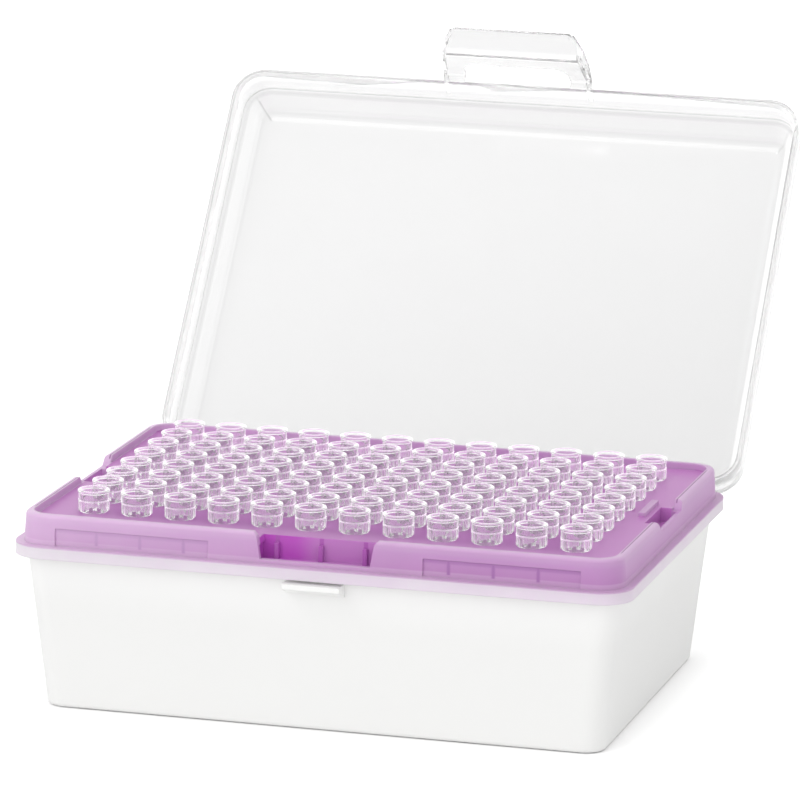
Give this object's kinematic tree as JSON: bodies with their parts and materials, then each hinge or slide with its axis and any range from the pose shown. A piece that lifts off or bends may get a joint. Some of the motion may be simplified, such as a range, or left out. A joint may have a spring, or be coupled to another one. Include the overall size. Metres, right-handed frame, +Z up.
{
  "type": "box of pipette tips",
  "caption": "Hinged box with a clear latching lid, an opaque tray and a tinted rack that holds rows of clear filter tips for a pipette.",
  "frame": {"origin": "centre of the tray's flat foot, on the bench", "axes": "+Z up, +X to the right along the twelve columns, -Y towards the latch at the front, hinges at +Y"},
  "size_m": [0.126, 0.161, 0.1182],
  "materials": {
    "tray": "satin white polypropylene",
    "rack": "translucent tinted polypropylene",
    "lid": "clear moulded polypropylene",
    "tips": "clear moulded polypropylene",
    "filters": "white porous polyethylene"
  },
  "bodies": {
    "box": {"base_tray": "tray", "tip_rack": "rack", "tips_column_01": "tips", "tips_column_02": "tips", "tips_column_03": "tips", "tips_column_04": "tips", "tips_column_05": "tips", "tips_column_06": "tips", "tips_column_07": "tips", "tips_column_08": "tips", "tips_column_09": "tips", "tips_column_10": "tips", "tips_column_11": "tips", "tips_column_12": "tips", "filters_column_01": "filters", "filters_column_02": "filters", "filters_column_03": "filters", "filters_column_04": "filters", "filters_column_05": "filters", "filters_column_06": "filters", "filters_column_07": "filters", "filters_column_08": "filters", "filters_column_09": "filters", "filters_column_10": "filters", "filters_column_11": "filters", "filters_column_12": "filters"},
    "lid": {"lid": "lid"}
  },
  "joints": [
    {"name": "lid_hinge", "type": "hinge", "parent": "box", "child": "lid", "pos_m": [0, 0.0481, 0.033], "axis": [1, 0, 0], "range_deg": [0, 128.7]}
  ]
}
